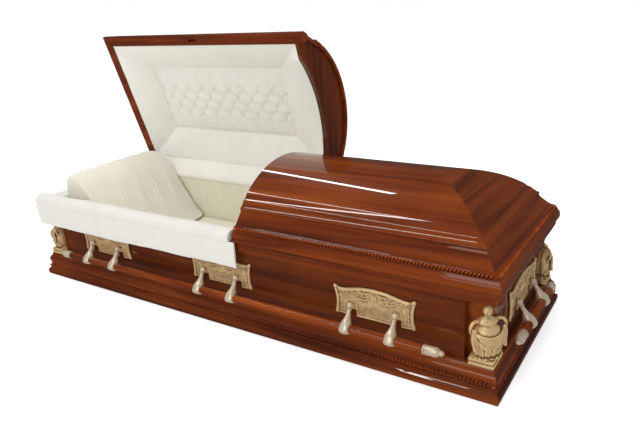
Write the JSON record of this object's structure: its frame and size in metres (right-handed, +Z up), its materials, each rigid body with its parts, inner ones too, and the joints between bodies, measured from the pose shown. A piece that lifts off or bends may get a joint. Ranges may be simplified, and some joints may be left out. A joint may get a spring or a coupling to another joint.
{
  "type": "funeral casket",
  "caption": "Half-couch wooden casket: open domed head lid with tufted lining, closed foot lid, pillow, overlay cloth, swing-bar handles and cast corner ornaments.",
  "frame": {"origin": "on the floor, at the middle of the box's flat underside", "axes": "+X along the casket towards the foot end, +Y from the front to the hinged back, +Z up"},
  "size_m": [2.204, 0.8813, 1.0228],
  "materials": {
    "mahogany": "high-gloss lacquer",
    "ivory_cloth": "matt shirred crepe",
    "pillow_cloth": "matt shirred crepe",
    "antique_gold": "antique gold plate, dark in the recesses",
    "pale_metal": "pale satin metal",
    "hinge_steel": "satin"
  },
  "bodies": {
    "casket": {"base_moulding": "mahogany", "top_moulding": "mahogany", "front_panel": "mahogany", "back_panel": "mahogany", "head_end_panel": "mahogany", "foot_end_panel": "mahogany", "bottom_board": "mahogany", "box_hinge_leaf": "hinge_steel", "box_lining": "ivory_cloth", "mattress": "ivory_cloth", "pillow": "pillow_cloth", "overlay_cloth": "ivory_cloth", "ornament_front_foot": "antique_gold", "ornament_back_foot": "antique_gold", "ornament_back_head": "antique_gold", "ornament_front_head": "antique_gold", "front_plate_1": "antique_gold", "front_plate_2": "antique_gold", "front_plate_3": "antique_gold", "back_plate_1": "antique_gold", "back_plate_2": "antique_gold", "back_plate_3": "antique_gold", "head_plate": "antique_gold", "foot_plate": "antique_gold"},
    "head_lid": {"head_lid_frame": "mahogany", "head_lid_crown": "mahogany", "head_lid_lining": "ivory_cloth", "head_lid_hinge_leaf": "hinge_steel"},
    "foot_lid": {"foot_lid_frame": "mahogany", "foot_lid_crown": "mahogany", "foot_lid_lining": "ivory_cloth", "foot_lid_hinge_leaf": "hinge_steel"},
    "front_handle": {"front_bar": "mahogany", "front_tip_1": "pale_metal", "front_tip_2": "pale_metal", "front_arm_1": "pale_metal", "front_arm_2": "pale_metal", "front_arm_3": "pale_metal", "front_arm_4": "pale_metal", "front_arm_5": "pale_metal", "front_arm_6": "pale_metal"},
    "back_handle": {"back_bar": "mahogany", "back_tip_1": "pale_metal", "back_tip_2": "pale_metal", "back_arm_1": "pale_metal", "back_arm_2": "pale_metal", "back_arm_3": "pale_metal", "back_arm_4": "pale_metal", "back_arm_5": "pale_metal", "back_arm_6": "pale_metal"},
    "head_handle": {"head_bar": "mahogany", "head_tip_1": "pale_metal", "head_tip_2": "pale_metal", "head_arm_1": "pale_metal", "head_arm_2": "pale_metal"},
    "foot_handle": {"foot_bar": "mahogany", "foot_tip_1": "pale_metal", "foot_tip_2": "pale_metal", "foot_arm_1": "pale_metal", "foot_arm_2": "pale_metal"}
  },
  "joints": [
    {"name": "head_lid_hinge", "type": "hinge", "parent": "casket", "child": "head_lid", "pos_m": [-0.48, 0.3465, 0.354], "axis": [1, 0, 0], "range_deg": [0, 75.3], "deforming": ["pillow", "overlay_cloth"]},
    {"name": "foot_lid_hinge", "type": "hinge", "parent": "casket", "child": "foot_lid", "pos_m": [0.55, 0.3465, 0.354], "axis": [-1, 0, 0], "range_deg": [0, 75.3]},
    {"name": "front_handle_hinge", "type": "hinge", "parent": "casket", "child": "front_handle", "pos_m": [0, -0.333, 0.202], "axis": [-1, 0, 0], "range_deg": [0, 60]},
    {"name": "back_handle_hinge", "type": "hinge", "parent": "casket", "child": "back_handle", "pos_m": [0, 0.333, 0.202], "axis": [1, 0, 0], "range_deg": [0, 60]},
    {"name": "foot_handle_hinge", "type": "hinge", "parent": "casket", "child": "foot_handle", "pos_m": [1.0437, 0, 0.202], "axis": [0, -1, 0], "range_deg": [0, 60]},
    {"name": "head_handle_hinge", "type": "hinge", "parent": "casket", "child": "head_handle", "pos_m": [-1.0437, 0, 0.202], "axis": [0, 1, 0], "range_deg": [0, 60]}
  ]
}
